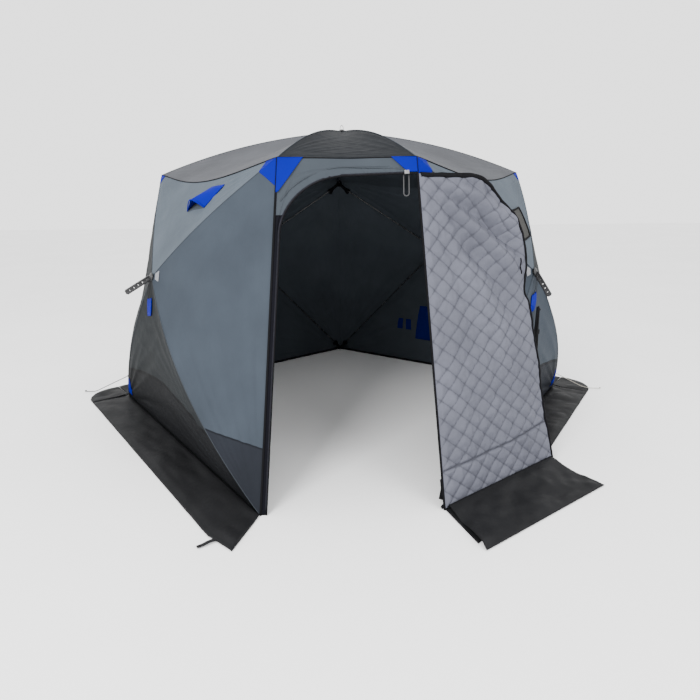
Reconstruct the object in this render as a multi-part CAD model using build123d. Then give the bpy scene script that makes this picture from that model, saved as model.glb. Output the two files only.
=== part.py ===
from build123d import *
import os
from math import cos, pi, radians, sin, sqrt, tan

# Pop-up hub shelter for ice fishing. Five-sided plan: a narrow door wall at the front (-Y)
# and four equal walls that each push out at a hub. Millimetres, +Z up, standing on z = 0.

# ---- driving dimensions -------------------------------------------------------------
front_width = 962  # base of the door wall
wall_length = 2321  # base of each hub wall
side_reach = 1842  # from the centreline to a side corner, at the base
front_depth = 1385  # from the roof hub's axis to the door wall, at the base
roof_scale = 0.726  # roof corners' plan over base corners' plan
corner_height = 1782  # roof corners
peak_height = 2030  # roof hub
centre_y = -265  # the roof hub's axis in the part's frame
hub_rise = 0.61  # height of a wall hub up the wall's slant
wall_bulge = 280  # how far a wall hub stands outside the plane of its wall's corners
eave_sag = 100  # dip of the cloth between two roof corners of a hub wall
cloth = 3  # insulated cloth, with its lining

hole_reach = 240  # patch's reach from a wall hub along each seam
roof_hole_reach = 230
patch_gap = 2

pole_radius = 5.5
ferrule_radius = 7
ferrule_length = 70
tip_gap = 110  # pole tip to corner, which leaves the tip room to travel
tip_inset = 32  # pole tips stand this far inside the wall's plane
hub_drop = 40  # pins below the cloth's peak at a hub
pin_ring = 46  # pins to a wall hub's axis
roof_pin_ring = 58
pin_radius = 3
pin_clearance = 0.05
eye_half_width = 6
eye_clearance = 0.5
ear_half_width = 11
ear_inner = 22  # ears start this far inside the pins
ear_outer = 9  # and end this far beyond them
ear_step = 3  # ears are this much lower than the boss on each side
slot_inner = 12  # the slot for a pole's eye, likewise
slot_outer = 20
hub_half_height = 12
stud_radius = 7
stud_clearance = 0.2
cap_lift = 4  # cap above the cloth's peak
cap_height = 7
cap_radius = 24
pull_length = 175
pull_half_width = 13
pull_thickness = 7
pull_rim = 6  # round the handle's slot
pull_lean = {"front_left": 38, "back_left": 50, "back_right": 50, "front_right": 66}  # degrees
loop_width = 34
loop_height = 36
loop_wall = 3
loop_depth = 14
loop_taper = 6

pocket_wall = 2
pocket_end_gap = 56  # pocket's closed end beyond the tip at rest
pocket_mouth = 45  # pocket's mouth short of the tip at rest
pocket_flare = 18  # degrees
pocket_play = 5  # round the pole's tip

skirt_width = 290
skirt_gap = 5
skirt_reach = 180  # front skirts run on past the front corners
under_door = 930  # stretch of the front-right skirt that the open door stands over

door_thickness = 10
door_gap = 4
jamb_width = 30
door_open_angle = 212
door_clear = 20  # bottom edge above the base line
arch_springing = 1420
arch_height = 310
arch_rise_right = 12  # the top edge climbs a little towards the hinge
door_side_gap = 12  # hinge edge of the door from the corner
door_skirt_width = 340
zip_width = 9
zip_depth = 3
zip_foot = 30

slider_x = 300
slider_half_width = 12
slider_play = 0.3  # over the zip and behind the cloth
slider_depth = 6
slider_inner_depth = 4
slider_top = 15  # above the doorway's edge
web_gap = 0.5  # under the cloth's edge
web_thickness = 2.8
post_radius = 2
post_length = 14
post_head = 1.5
post_height = 4  # above the doorway's edge
ring_gap = 11.7  # from the slider's inner side to the ring's
ring_tall = 122
ring_wide = 32
ring_wire_width = 5
ring_depth = 5

vent_rise = 75
corner_patch_seam = 120
corner_patch_edge = 110
corner_patch_thickness = 1.5
hank_drop = 190
hank_out = 45
hank_half_width = 32
hank_half_depth = 20
hank_height = 400

rope_radius = 2.5
strap_radius = 3

names = ["front_left", "left", "back", "right", "front_right"]
wall_names = ["front_left", "back_left", "back_right", "front_right"]


# ---- plan ---------------------------------------------------------------------------
side_y = -front_depth + sqrt(wall_length**2 - (side_reach - front_width / 2) ** 2)
back_y = side_y + sqrt(wall_length**2 - side_reach**2)
plan = [
    (-front_width / 2, -front_depth),
    (-side_reach, side_y),
    (0, back_y),
    (side_reach, side_y),
    (front_width / 2, -front_depth),
]
axis_point = Vector(0, centre_y, 0)
base = [axis_point + Vector(x, y, 0) for x, y in plan]
roof = [axis_point + Vector(x * roof_scale, y * roof_scale, corner_height) for x, y in plan]
peak = axis_point + Vector(0, 0, peak_height)
UP = Vector(0, 0, 1)


def between(a, b, share):
    return a + (b - a) * share


def prism(points, along):
    """Flat polygon pushed along a vector."""
    return Solid.extrude(Face(Wire.make_polygon(points, close=True)), along)


def bar(a, b, radius):
    """Round bar between two points."""
    plane = Plane(origin=a, z_dir=(b - a).normalized())
    return Solid.make_cylinder(radius, (b - a).length, plane)


def joined(shapes):
    whole = shapes[0]
    for shape in shapes[1:]:
        whole = whole + shape
    return whole.clean()


def write(name, shape):
    solids = shape.solids() if hasattr(shape, "solids") else shape
    export_step(solids[0] if len(solids) == 1 else Compound(solids), f"parts/{name}.step")


def group(name, shapes):
    export_step(Compound([solid for shape in shapes for solid in shape.solids()]), f"parts/{name}.step")


def sector(first, last):
    """Everything between two corners' vertical planes through the roof hub's axis."""
    far = [axis_point + (p - axis_point) * 2 for p in (first, last)]
    return prism([axis_point, far[0], far[1]], UP * 3000)


class Wall:
    """Frame of one hub wall: its corners, its outward normal and its hub."""

    def __init__(self, index):
        self.a, self.b = base[index], base[index + 1]
        self.ta, self.tb = roof[index], roof[index + 1]
        mid_base = between(self.a, self.b, 0.5)
        mid_top = between(self.ta, self.tb, 0.5)
        self.along = (self.b - self.a).normalized()
        self.up = (mid_top - mid_base).normalized()
        self.out = self.along.cross(self.up)
        if self.out.dot(mid_base - axis_point) < 0:
            self.out = self.out * -1
        self.foot = between(mid_base, mid_top, hub_rise)
        self.hub = self.foot + self.out * wall_bulge
        dip = (self.hub - mid_top).normalized() * eave_sag
        self.eave = mid_top + dip
        self.rim = [self.a, self.b, self.tb, self.eave, self.ta]
        self.corners = [self.a, self.b, self.tb, self.ta]


walls = [Wall(index) for index in range(4)]
eaves = [wall.eave for wall in walls] + [between(roof[4], roof[0], 0.5)]


def reach_points(centre, rim, reach):
    """Points at one distance from the hub, on the seams out to the rim."""
    return [centre + (p - centre).normalized() * reach for p in rim]


def tent(centre, rim, reach, along):
    """Facets from the rim in to the edge of the patch."""
    inner = reach_points(centre, rim, reach)
    facets = []
    for k in range(len(rim)):
        m = (k + 1) % len(rim)
        facets.append(prism([rim[k], rim[m], inner[m], inner[k]], along))
    return joined(facets)


def patch(centre, rim, reach, along):
    """The cloth clamped at a hub, with the hole for the hub's stud."""
    inner = reach_points(centre, rim, reach - patch_gap)
    facets = []
    for k in range(len(rim)):
        m = (k + 1) % len(rim)
        facets.append(prism([centre, inner[m], inner[k]], along))
    axis = along.normalized()
    return joined(facets) - bar(centre - axis * 30, centre + axis * 60, stud_radius + stud_clearance)


# ---- roof ---------------------------------------------------------------------------
roof_rim = []
for k in range(5):
    roof_rim += [roof[k], eaves[k]]
down = UP * -cloth
roof_cloth = tent(peak, roof_rim, roof_hole_reach, down)
roof_core = tent(peak, roof_rim, 1, down)


# ---- hubs and poles -----------------------------------------------------------------
class Hub:
    """A hub: its centre on the pins' plane, its axis outward, and its poles' directions."""

    def __init__(self, name, peak_point, out, targets, ring, plane_foot):
        self.name = name
        self.peak = peak_point
        self.out = out
        self.ring = ring
        self.centre = peak_point - out * hub_drop
        self.poles = []
        for target in targets:
            flat = (target - plane_foot) - out * (target - plane_foot).dot(out)
            spoke = flat.normalized()
            pin = self.centre + spoke * ring
            tip = target - spoke * tip_gap - out * tip_inset
            self.poles.append((spoke, pin, tip))


hubs = []
for wall, name in zip(walls, wall_names):
    hubs.append(Hub(name, wall.hub, wall.out, wall.corners, pin_ring, wall.foot))
roof_foot = axis_point + UP * corner_height
hubs.append(Hub("roof", peak, UP, roof, roof_pin_ring, roof_foot))
front_first = ["lower_front", "lower_rear", "upper_rear", "upper_front"]
rear_first = ["lower_rear", "lower_front", "upper_front", "upper_rear"]
pole_names = {
    "front_left": front_first,
    "back_left": front_first,
    "back_right": rear_first,
    "front_right": rear_first,
    "roof": names,
}


def hub_body(hub):
    """Moulded hub: a boss, a pair of ears for each pole, and the stud that clamps the cloth."""
    top = hub.out * hub_half_height
    boss = bar(hub.centre - top, hub.centre + top, hub.ring - slot_inner)

    def block(spoke, first, last, half_width, half_height):
        side = hub.out.cross(spoke) * half_width
        near = hub.centre + spoke * (hub.ring + first) - hub.out * half_height
        far = hub.centre + spoke * (hub.ring + last) - hub.out * half_height
        return prism([near + side, near - side, far - side, far + side], hub.out * 2 * half_height)

    ears = []
    slots = []
    for spoke, pin, tip in hub.poles:
        side = hub.out.cross(spoke)
        ears.append(block(spoke, -ear_inner, ear_outer, ear_half_width, hub_half_height - ear_step))
        slot_half = eye_half_width + eye_clearance
        slots.append(block(spoke, -slot_inner, slot_outer, slot_half, hub_half_height + 5))
        slots.append(bar(pin - side * 30, pin + side * 30, pin_radius + pin_clearance))
    stud = bar(hub.centre, hub.peak + hub.out * cap_lift, stud_radius)
    body = joined([boss] + ears)
    for slot in slots:
        body = body - slot
    return body + stud


def pole(hub, spoke, pin, tip):
    """Fibreglass rod with a moulded end: an eye with trunnions that snap into the hub's ears."""
    side = hub.out.cross(spoke)
    direction = (tip - pin).normalized()
    eye = bar(pin - side * eye_half_width, pin + side * eye_half_width, ferrule_radius)
    trunnion = bar(pin - side * ear_half_width, pin + side * ear_half_width, pin_radius)
    ferrule = bar(pin, pin + direction * ferrule_length, eye_half_width - 0.2)
    rod = bar(pin + direction * (ferrule_length - 20), tip, pole_radius)
    return joined([eye, trunnion, ferrule, rod])


def pocket(hub, spoke, tip):
    """Corner boot: a socket beyond the tip that flares into a mouth, so that the pole can tilt."""
    flare = tan(radians(pocket_flare))
    bore = pole_radius + pocket_play
    mouth = bore + pocket_mouth * flare
    plane = Plane(origin=tip + spoke * pocket_end_gap, z_dir=spoke * -1)
    straight = pocket_end_gap
    outer = Solid.make_cylinder(bore + pocket_wall, straight + 3, plane)
    inner_plane = Plane(origin=tip + spoke * (pocket_end_gap - 3), z_dir=spoke * -1)
    inner = Solid.make_cylinder(bore, straight + 6, inner_plane)
    cone_plane = Plane(origin=tip, z_dir=spoke * -1)
    cone = Solid.make_cone(bore + pocket_wall, mouth + pocket_wall, pocket_mouth, cone_plane)
    void = Solid.make_cone(bore, mouth, pocket_mouth, cone_plane)
    return (outer + cone) - inner - void


def hub_pull(hub):
    """Cap on the stud, and the slotted handle that pulls the hub out."""
    cap_base = hub.peak + hub.out * cap_lift
    cap = bar(cap_base, cap_base + hub.out * cap_height, cap_radius)
    if hub.name == "roof":
        return cap + pull_loop(cap_base + UP * (cap_height - 1))
    side = hub.out.cross(UP).normalized()
    fall = side.cross(hub.out).normalized()
    if fall.Z > 0:
        fall = fall * -1
    lean = radians(pull_lean[hub.name])
    run = (hub.out * cos(lean) + fall * sin(lean)).normalized()
    thick = side.cross(run).normalized()
    start = cap_base + hub.out * cap_height / 2
    return cap + slotted_bar(start, run, side, thick)


def pull_loop(foot):
    """A webbing loop that stands on its foot and narrows upward: an outer block less an inner one."""

    def block(half_width, low, high, depth):
        half_top = half_width - loop_taper
        corners = [(-half_width, low), (half_width, low), (half_top, high), (-half_top, high)]
        return prism([foot + Vector(x, -depth / 2, z) for x, z in corners], Vector(0, depth, 0))

    half = loop_width / 2
    void = block(half - loop_wall, loop_wall, loop_height - loop_wall, loop_depth * 2)
    return block(half, 0, loop_height, loop_depth) - void


def slotted_bar(start, run, side, thick):
    """Handle: a flat bar with a slot near its free end."""

    def slab(first, last, half_width, height):
        corners = [
            start + run * first - side * half_width,
            start + run * first + side * half_width,
            start + run * last + side * half_width,
            start + run * last - side * half_width,
        ]
        return prism([p - thick * height / 2 for p in corners], thick * height)

    handle = slab(0, pull_length, pull_half_width, pull_thickness)
    return handle - slab(pull_length - 55, pull_length - 10, pull_half_width - pull_rim, pull_thickness * 3)


# ---- front wall, zip and door -------------------------------------------------------
front_out = (base[4] - base[0]).cross(roof[0] - base[0]).normalized()
if front_out.Y > 0:
    front_out = front_out * -1
front_mid = between(base[0], base[4], 0.5)
front_top = between(roof[0], roof[4], 0.5)
front_up = (front_top - front_mid).normalized()
front_slant = (front_top - front_mid).length
right = Vector(1, 0, 0)


def on_front(x, s, lift=0):
    """Point of the door wall's outer face: x across, s up the slant."""
    return front_mid + right * x + front_up * s + front_out * lift


def edge_x(s):
    """Half the door wall's width at a height up its slant."""
    return front_width / 2 - (front_width / 2) * (1 - roof_scale) * s / front_slant


front_plane = Plane(origin=front_mid, x_dir=right, z_dir=front_out)
arch_top = arch_springing + arch_height


def jamb_x(s):
    return -(edge_x(s) - jamb_width)


def opening_outline(shrink):
    """Outline of the doorway on the wall's plane: hinge side, sill, jamb, arch and top."""
    top_right_s = arch_top + arch_rise_right - shrink
    foot = 0 if shrink == 0 else door_clear
    hinge = 0 if shrink == 0 else door_side_gap
    springing_x = jamb_x(arch_springing) + shrink
    sill = Line((edge_x(foot) - hinge, foot), (jamb_x(foot) + shrink, foot))
    jamb = Line(sill @ 1, (springing_x, arch_springing))
    arch = EllipticalCenterArc(
        (0, arch_springing), -springing_x, arch_height - shrink, start_angle=90, arc_size=90
    )
    top = Line((0, arch_top - shrink), (edge_x(top_right_s) - hinge, top_right_s))
    side = Line(top @ 1, sill @ 0)
    return sill, jamb, arch, top, side


def plate(outline, lift, thickness):
    """Flat sheet on the door wall's plane, its outer face lifted by lift, growing inwards."""
    flat = make_face(Wire(list(outline)))
    face = front_plane * Pos(0, 0, lift) * flat
    return Solid.extrude(face.face(), front_out * -thickness)


def zip_track():
    """Zip coil sewn along the jamb and the arch, on the outside of the door wall."""
    spring_x = jamb_x(arch_springing)
    end_x = edge_x(arch_top + arch_rise_right) - 30
    end_s = arch_top + arch_rise_right * end_x / edge_x(arch_top + arch_rise_right)

    def line(shift):
        """The jamb, the arch and the top, shift outside the doorway's edge."""
        jamb = Line((jamb_x(zip_foot) - shift, zip_foot), (spring_x - shift, arch_springing))
        arch = EllipticalCenterArc(
            (0, arch_springing), -spring_x + shift, arch_height + shift, start_angle=90, arc_size=90
        )
        return jamb, arch, Line((0, arch_top + shift), (end_x, end_s + shift))

    inner, outer = line(0), line(zip_width)
    ends = [Line(inner[2] @ 1, outer[2] @ 1), Line(inner[0] @ 0, outer[0] @ 0)]
    flat = make_face(Wire([*inner, ends[0], *reversed(outer), ends[1]]))
    face = front_plane * Pos(0, 0, zip_depth) * flat
    return Solid.extrude(face.face(), front_out * -zip_depth)


hinge_axis = Axis(base[4], (roof[4] - base[4]))


def opened(shape):
    """Closed door's shape turned about the right-hand corner to where it stands open."""
    return shape.rotate(hinge_axis, door_open_angle)


def opened_point(point):
    return opened(Vertex(point.X, point.Y, point.Z)).center()


# ---- ground skirts ------------------------------------------------------------------
def ground_sheet(points):
    """Cloth lying on the ice."""
    return prism(points, UP * cloth)


def flat_out(wall):
    return Vector(wall.out.X, wall.out.Y, 0).normalized()


def skirt(index):
    """Strip of ground skirt that folds up along one hub wall."""
    wall = walls[index]
    out = flat_out(wall)
    a, b = wall.a, wall.b
    if index == 3:
        b = b - wall.along * under_door
    strip = [a + out * skirt_gap, b + out * skirt_gap, b + out * skirt_width]
    if index == 0:
        strip += [a + out * skirt_width, a + out * (skirt_width - 40) - wall.along * skirt_reach]
    else:
        strip += [a + out * skirt_width]
    return ground_sheet(strip)


def skirt_corner(index):
    """Fan of skirt round one base corner, between two strips."""
    before, after = walls[index - 1], walls[index]
    corner = base[index]
    first, last = flat_out(before), flat_out(after)
    turn = first.get_signed_angle(last, UP)
    fan = [corner + (first + last).normalized() * skirt_gap * 2]
    for step in range(4):
        direction = first.rotate(Axis.Z, turn * (0.02 + 0.96 * step / 3))
        fan.append(corner + direction * skirt_width * (1.06 if step in (1, 2) else 1))
    return ground_sheet(fan)


def skirt_under_door():
    """Fixed stretch of the front-right skirt, which the open door stands over."""
    wall = walls[3]
    out = flat_out(wall)
    start = wall.b - wall.along * (under_door - 3)
    end = wall.b
    return ground_sheet([
        start + out * skirt_gap,
        end + out * skirt_gap,
        end + out * (skirt_width - 40) + wall.along * skirt_reach,
        end + out * skirt_width,
        start + out * skirt_width,
    ])


door_skirt_lift = -(door_thickness + 4)
door_skirt_hinge = [
    opened_point(on_front(edge_x(0) - 45, door_clear, door_skirt_lift)),
    opened_point(on_front(jamb_x(0) + 25, door_clear, door_skirt_lift)),
]


def door_skirt():
    """Skirt along the door's bottom edge: two triangles, from that edge down to the ice."""
    near, far = door_skirt_hinge
    run = Vector(far.X - near.X, far.Y - near.Y, 0).normalized()
    side = run.cross(UP).normalized()
    if side.Y > 0:
        side = side * -1
    outer_near = Vector(near.X, near.Y, cloth) + side * door_skirt_width - run * 15
    outer_far = Vector(far.X, far.Y, cloth) + side * door_skirt_width - run * 95
    drop = UP * -cloth
    return joined([prism([near, far, outer_near], drop), prism([far, outer_far, outer_near], drop)])


# ---- sewn-on pieces -----------------------------------------------------------------
def corner_patch(index):
    """Reinforced roof corner: two triangles that follow the roof's facets."""
    tip = roof[index]
    seam = (peak - tip).normalized() * corner_patch_seam
    sheets = []
    for eave in (eaves[index - 1], eaves[index]):
        edge = (eave - tip).normalized() * corner_patch_edge
        sheets.append(prism([tip, tip + edge, tip + seam], UP * corner_patch_thickness))
    return joined(sheets)


def vent_hood():
    """Hood over the vent, high on the front-left wall: a wedge that is open on its lower side."""
    wall = walls[0]

    def on_facet(side_share, front_share):
        return wall.hub + (wall.tb - wall.hub) * side_share + (wall.ta - wall.hub) * front_share

    back = on_facet(0.30, 0.53)
    foot = on_facet(0.33, 0.38)
    width = on_facet(0.18, 0.64) - back
    normal = (wall.tb - wall.hub).cross(wall.ta - wall.hub).normalized()
    if normal.dot(wall.out) < 0:
        normal = normal * -1
    return prism([back, foot, foot + normal * vent_rise], width)


slider_edge = on_front(slider_x, arch_top + arch_rise_right * slider_x / edge_x(arch_top))
top_left = on_front(0, arch_top)
top_run = (on_front(edge_x(arch_top), arch_top + arch_rise_right) - top_left).normalized()
top_rise = front_out.cross(top_run).normalized()
slider_back = -cloth - slider_play - slider_inner_depth
post_foot = slider_edge + top_rise * post_height + front_out * slider_back
ring_lift = slider_back - ring_gap


def zip_slider():
    """Zip slider that straddles the cloth's edge at the hinge end of the track, with a post inside."""
    outline = [
        (slider_back, slider_top),
        (slider_back, -web_gap - web_thickness),
        (zip_depth + slider_play + slider_depth, -web_gap - web_thickness),
        (zip_depth + slider_play + slider_depth, slider_top),
        (zip_depth + slider_play, slider_top),
        (zip_depth + slider_play, -web_gap),
        (-cloth - slider_play, -web_gap),
        (-cloth - slider_play, slider_top),
    ]
    start = slider_edge - top_run * slider_half_width
    points = [start + front_out * lift + top_rise * rise for lift, rise in outline]
    body = prism(points, top_run * slider_half_width * 2)
    post_end = post_foot - front_out * post_length
    post = bar(post_foot + front_out, post_end, post_radius)
    head = bar(post_end + front_out * post_head, post_end, post_radius * 2)
    return joined([body, post, head])


def zip_carabiner():
    """Oval ring that hangs on the slider's post, inside the doorway."""
    hole_tall, hole_wide = ring_tall - 2 * ring_wire_width, ring_wide - 2 * ring_wire_width
    ring = SlotOverall(ring_tall, ring_wide, rotation=90) - SlotOverall(hole_tall, hole_wide, rotation=90)
    drop = ring_tall / 2 - ring_wire_width - post_radius - 0.2
    centre = post_foot - front_up * drop + front_out * (ring_lift - slider_back)
    place = Plane(origin=centre, x_dir=right, z_dir=front_out)
    return Solid.extrude((place * ring).face(), front_out * ring_depth)


def edge_point(index, height):
    """Point on a wall corner's edge."""
    return between(base[index], roof[index], height / corner_height)


def outward(index):
    spoke = base[index] - axis_point
    return spoke.normalized()


ring_heights = {1: 180, 3: 135}
ring_radius = 14
ring_wire = 2.5


def guy_ring(index):
    """D ring on a corner's edge, standing in the vertical plane that points outward."""
    centre = edge_point(index, ring_heights[index]) + outward(index) * (ring_radius + ring_wire + 3)
    plane = Plane(origin=centre, z_dir=outward(index).cross(UP))
    return Solid.make_torus(ring_radius, ring_wire, plane)


def cord_tube(name, route, radius):
    """Tube along straight runs that arcs join, each arc as large as its runs allow."""
    points = [Vector(*p) for p in route]
    radii = []
    for before, here, after in zip(points, points[1:], points[2:]):
        turn = radians((here - before).get_angle(after - here))
        run = min((here - before).length, (after - here).length)
        radii.append(0.45 * run / tan(turn / 2))
    line = FilletPolyline(*points, radius=radii)
    print(name, "radii", [round(r, 1) for r in radii], "length", round(line.length, 1))
    section = Plane(origin=line @ 0, z_dir=line % 0) * Circle(radius)
    tube = sweep(section, path=line)
    print(name, "volume over section x length", round(tube.volume / (pi * radius**2 * line.length), 4))
    return tube


# Each guy line leaves its ring pulled straight, and its end lies on the ice.
left_route = [(-1828, 226, 176), (-2080, 292, 52), (-2150, 316, 14), (-2205, 331, 6.5), (-2255, 341, 6)]
right_route = [
    (1841, 230, 131),
    (2020, 178, 44),
    (2080, 160, 14),
    (2135, 141, 6.5),
    (2185, 133, 6),
    (2222, 133, 5.5),
]


def rope_hank():
    """Spare rope, hanked and hung up below the front-right hub: its outer shape."""
    wall = walls[3]
    out = flat_out(wall)
    side = wall.along
    top = wall.hub - UP * hank_drop + out * (hank_out - hank_half_depth)
    half = side * hank_half_width
    fall = UP * -hank_height
    corners = [top + half, top - half, top - half + fall, top + half + fall]
    return prism(corners, out * 2 * hank_half_depth)


def main():
    os.makedirs("parts", exist_ok=True)

    # Roof and walls.
    write("roof", roof_cloth)
    for wall, name in zip(walls, wall_names):
        body = tent(wall.hub, wall.rim, hole_reach, wall.out * -cloth)
        body = body & sector(wall.a, wall.b)
        body = body - roof_core
        if name == "front_right":
            shares = [(0.12, 0.5), (0.5, 0.12), (0.23, 0.15), (0.15, 0.23)]
            corners = [wall.hub + (wall.tb - wall.hub) * u + (wall.ta - wall.hub) * v for u, v in shares]
            pane = prism(corners, wall.out * -cloth)
            body = body - pane
            write("window_panel", pane)
        write(f"wall_{name}", body)

    # Door wall with its zip, and the door with its skirt.
    front = prism([base[0], base[4], roof[4], roof[0]], front_out * -cloth)
    front = front - plate(opening_outline(0), 20, 60)
    front = front & sector(base[4], base[0])
    write("front_wall", front - roof_core)
    write("door_zip_track", zip_track())
    write("door_zip_slider", zip_slider())
    write("zip_carabiner", zip_carabiner())
    write("door_panel", opened(plate(opening_outline(door_gap), -0.5, door_thickness)))
    write("door_skirt", door_skirt())

    # Frame: hubs, poles, pulls and the cloth clamped at each hub.
    for hub in hubs:
        write(f"hub_{hub.name}", hub_body(hub))
        for (spoke, pin, tip), pole_name in zip(hub.poles, pole_names[hub.name]):
            write(f"pole_{hub.name}_{pole_name}", pole(hub, spoke, pin, tip))
        write(f"hub_pull_{hub.name}", hub_pull(hub))
        if hub.name == "roof":
            cover = patch(peak, roof_rim, roof_hole_reach, down)
        else:
            wall = walls[wall_names.index(hub.name)]
            cover = patch(wall.hub, wall.rim, hole_reach, wall.out * -cloth)
        write(f"hub_patch_{hub.name}", cover)
    group("pole_pockets", [pocket(hub, spoke, tip) for hub in hubs for spoke, pin, tip in hub.poles])

    # Skirts and what is sewn on.
    for index, name in enumerate(wall_names):
        write(f"skirt_{name}", skirt(index))
    group("skirt_corners", [skirt_corner(index) for index in (1, 2, 3)] + [skirt_under_door()])
    group("roof_corner_patches", [corner_patch(index) for index in range(5)])
    write("vent_hood", vent_hood())
    group("guy_rings", [guy_ring(index) for index in ring_heights])

    # Guy lines and the spare rope.
    write("guy_line_left", cord_tube("guy_line_left", left_route, strap_radius))
    write("guy_line_right", cord_tube("guy_line_right", right_route, rope_radius))
    write("rope_hank", rope_hank())


main()
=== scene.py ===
from math import atan2, cos, degrees, exp, hypot, pi, radians, sin, sqrt

import bmesh
import bpy
from mathutils import Matrix, Vector, noise


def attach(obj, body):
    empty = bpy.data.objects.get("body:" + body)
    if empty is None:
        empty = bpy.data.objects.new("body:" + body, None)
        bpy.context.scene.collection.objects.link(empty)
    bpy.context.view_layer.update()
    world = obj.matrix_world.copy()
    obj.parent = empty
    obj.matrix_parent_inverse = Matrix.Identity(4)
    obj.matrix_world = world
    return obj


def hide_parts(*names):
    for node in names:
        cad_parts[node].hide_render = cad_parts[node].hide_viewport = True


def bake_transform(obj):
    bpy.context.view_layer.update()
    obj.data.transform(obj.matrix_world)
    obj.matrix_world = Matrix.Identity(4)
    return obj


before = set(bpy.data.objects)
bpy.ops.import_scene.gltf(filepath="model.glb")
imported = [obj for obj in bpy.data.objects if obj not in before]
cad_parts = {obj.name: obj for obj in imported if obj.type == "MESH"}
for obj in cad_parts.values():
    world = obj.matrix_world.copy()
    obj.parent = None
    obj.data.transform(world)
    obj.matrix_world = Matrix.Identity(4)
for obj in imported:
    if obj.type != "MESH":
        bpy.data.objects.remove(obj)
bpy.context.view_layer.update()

# Pop-up hub shelter. Metres, +Z up, the door wall faces -Y. The plan repeats the CAD's dimensions.

# ---- driving dimensions, as in the CAD ------------------------------------------------
front_width = 0.962
wall_length = 2.321
side_reach = 1.842
front_depth = 1.385
roof_scale = 0.726
corner_height = 1.782
peak_height = 2.030
centre_y = -0.265
hub_rise = 0.61
wall_bulge = 0.280
eave_sag = 0.100
skirt_width = 0.290
skirt_seam = 0.004
skirt_reach = 0.180
under_door = 0.930
door_open_angle = radians(212)
jamb_width = 0.030
arch_springing = 1.420
arch_height = 0.310
arch_rise_right = 0.012

UP = Vector((0, 0, 1))
RIGHT = Vector((1, 0, 0))

side_y = -front_depth + sqrt(wall_length**2 - (side_reach - front_width / 2) ** 2)
back_y = side_y + sqrt(wall_length**2 - side_reach**2)
plan = [
    (-front_width / 2, -front_depth),
    (-side_reach, side_y),
    (0, back_y),
    (side_reach, side_y),
    (front_width / 2, -front_depth),
]
axis_point = Vector((0, centre_y, 0))
base = [axis_point + Vector((x, y, 0)) for x, y in plan]
roof = [axis_point + Vector((x * roof_scale, y * roof_scale, corner_height)) for x, y in plan]
peak = axis_point + UP * peak_height
wall_names = ["front_left", "back_left", "back_right", "front_right"]


# ---- camera ---------------------------------------------------------------------------
def make_camera():
    position = Vector((-0.0955, -3.779 + centre_y, 1.540))
    yaw, pitch, roll = radians(2.08), radians(15.36), radians(-0.55)
    forward = Vector((sin(yaw) * cos(pitch), cos(yaw) * cos(pitch), -sin(pitch)))
    level = Vector((cos(yaw), -sin(yaw), 0))
    above = level.cross(forward)
    across = level * cos(roll) + above * sin(roll)
    upward = above * cos(roll) - level * sin(roll)
    data = bpy.data.cameras.new("camera")
    data.sensor_width = 36
    data.lens = 26.74
    camera = bpy.data.objects.new("camera", data)
    axes = Matrix((across, upward, -forward)).transposed().to_4x4()
    camera.matrix_world = Matrix.Translation(position) @ axes
    bpy.context.scene.collection.objects.link(camera)
    bpy.context.scene.camera = camera


make_camera()


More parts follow.
